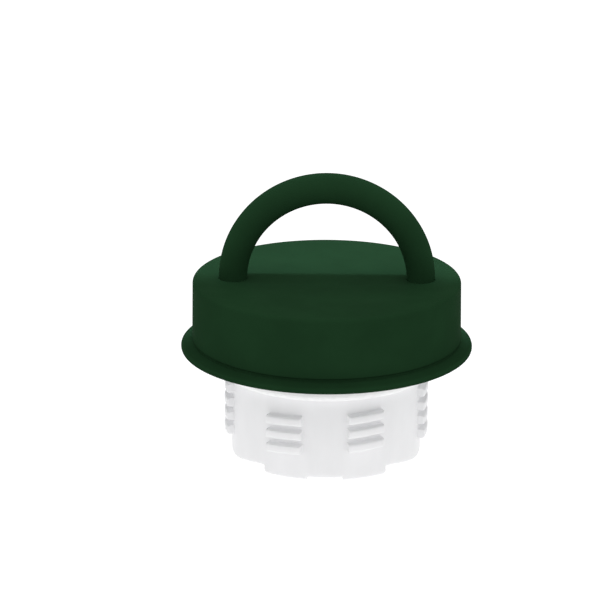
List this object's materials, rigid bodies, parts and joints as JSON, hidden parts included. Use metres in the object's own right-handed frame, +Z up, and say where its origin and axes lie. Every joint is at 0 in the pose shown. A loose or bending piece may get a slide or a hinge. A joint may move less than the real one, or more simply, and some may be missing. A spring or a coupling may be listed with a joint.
{
  "type": "screw-in lid with carrying handle",
  "caption": "Round screw-in lid for a wide-mouth jar: flanged cap with a fixed arched carrying handle, over an insulated plug with an interrupted thread and a sealing ring.",
  "frame": {"origin": "centre of the face that the lid stands on, the bottom of the plug", "axes": "+Z up through the plug and the cap; the arch of the handle lies in the XZ plane, so -Y faces a viewer"},
  "size_m": [0.08, 0.08, 0.0793],
  "materials": {
    "cap": "matt moulded polypropylene",
    "handle": "matt moulded polypropylene",
    "plug": "fine satin moulded polypropylene",
    "gasket": "soft white silicone",
    "foam": "cut foam",
    "fasteners": "plain stainless"
  },
  "bodies": {
    "root": {"cap_shell": "cap", "carrier_plate": "cap", "carry_handle": "handle", "handle_washers": "fasteners", "handle_screws": "fasteners", "thread_plug": "plug", "plug_floor": "plug", "neck_gasket": "gasket", "plug_insulation": "foam", "cap_insulation": "foam", "plug_screws": "fasteners"}
  },
  "joints": []
}
